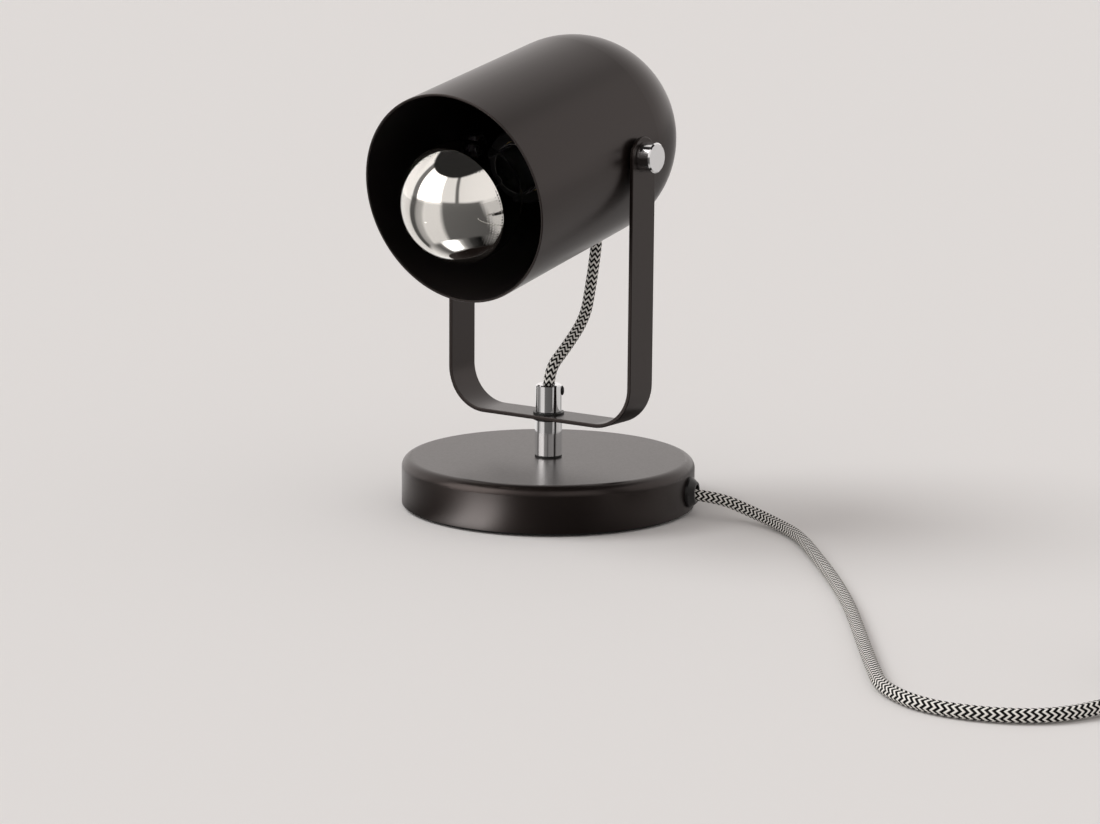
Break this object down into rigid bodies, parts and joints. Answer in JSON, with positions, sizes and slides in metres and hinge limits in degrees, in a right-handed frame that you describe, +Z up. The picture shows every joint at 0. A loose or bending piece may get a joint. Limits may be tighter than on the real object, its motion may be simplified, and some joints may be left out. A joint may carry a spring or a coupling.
{
  "type": "table spotlight",
  "caption": "Small table spotlight: round weighted base, short stem, swivelling U-yoke, tilting bullet shade, crown-mirror bulb and textile cord with switch and plug.",
  "frame": {"origin": "middle of the foot pad's lower face, on the table", "axes": "+Z up along the stem, the yoke's legs spread along X, the shade points along -Y and 12 degrees down at rest"},
  "size_m": [0.5496, 0.2942, 0.2386],
  "materials": {
    "black_coat": "satin-matte powder coat with a fine texture",
    "cast_iron": "rough casting",
    "zinc_steel": "bright zinc plate",
    "foot_foam": "closed-cell foam",
    "black_rubber": "matte",
    "chrome": "polished, finely turned",
    "black_steel": "black oxide",
    "black_plastic": "matte moulded",
    "cord_braid": "black and white zigzag textile braid",
    "core_sheath": "thin insulation",
    "block_nylon": "natural nylon",
    "brass": "plain",
    "nickel": "nickel plate",
    "holder_ceramic": "glazed ceramic",
    "bulb_glass": "clear",
    "bulb_mirror": "silvered crown",
    "black_glass": "vitrite",
    "tungsten": "coiled wire"
  },
  "bodies": {
    "base": {"base_cover": "black_coat", "base_weight": "cast_iron", "bottom_plate": "zinc_steel", "foot_pad": "foot_foam", "plate_screws": "zinc_steel", "threaded_tube": "zinc_steel", "tube_nut": "zinc_steel", "tube_washer": "zinc_steel", "stem_gasket": "black_rubber", "lower_stem": "chrome", "stem_washers": "black_steel", "cord_grip": "chrome", "grip_screw": "black_steel", "cord_gland": "black_plastic", "gland_nut": "black_plastic", "cord_ferrule": "black_plastic", "sheathed_end": "cord_braid", "supply_cores": "core_sheath", "lamp_cores": "core_sheath", "terminal_block": "block_nylon", "terminal_tubes": "brass", "terminal_screws": "brass", "mains_cord": "cord_braid", "cord_link": "cord_braid", "cord_tail": "cord_braid", "cord_coil": "cord_braid", "coil_tie": "black_rubber", "switch_lower_half": "black_plastic", "switch_upper_half": "black_plastic", "switch_screws": "zinc_steel", "switch_contacts": "brass", "plug_body": "black_plastic", "plug_pins": "nickel"},
    "yoke": {"yoke_bar": "black_coat", "jumper_cord": "cord_braid"},
    "head": {"shade": "black_coat", "shade_grommet": "black_rubber", "pivot_spacers": "black_coat", "pivot_nuts": "zinc_steel", "holder_bracket": "zinc_steel", "holder_nipple": "zinc_steel", "nipple_nut": "zinc_steel", "holder_cap": "black_plastic", "holder_skirt": "black_plastic", "holder_core": "holder_ceramic", "holder_thread": "brass", "holder_contact": "brass", "bulb_glass": "bulb_glass", "crown_mirror": "bulb_mirror", "bulb_cap": "nickel", "bulb_insulator": "black_glass", "bulb_contact": "nickel", "bulb_stem": "bulb_glass", "filament": "tungsten", "head_cores": "core_sheath"},
    "knob_left": {"clamp_knob_left": "chrome"},
    "knob_right": {"clamp_knob_right": "chrome"},
    "rocker": {"switch_rocker": "black_plastic"}
  },
  "joints": [
    {"name": "yoke_swivel", "type": "hinge", "parent": "base", "child": "yoke", "pos_m": [0, 0, 0.0453], "axis": [0, 0, 1], "range_deg": [-160, 160]},
    {"name": "head_tilt", "type": "hinge", "parent": "yoke", "child": "head", "pos_m": [0, 0, 0.182], "axis": [1, 0, 0], "range_deg": [-60, 20], "deforming": ["jumper_cord"]},
    {"name": "knob_left_turn", "type": "hinge", "parent": "head", "child": "knob_left", "pos_m": [-0.0562, 0, 0.182], "axis": [1, 0, 0], "continuous": true},
    {"name": "knob_right_turn", "type": "hinge", "parent": "head", "child": "knob_right", "pos_m": [0.0562, 0, 0.182], "axis": [1, 0, 0], "continuous": true},
    {"name": "switch_rock", "type": "hinge", "parent": "base", "child": "rocker", "pos_m": [0.396, -0.097, 0.015], "axis": [1, 0, 0], "range_deg": [-16, 0]}
  ]
}
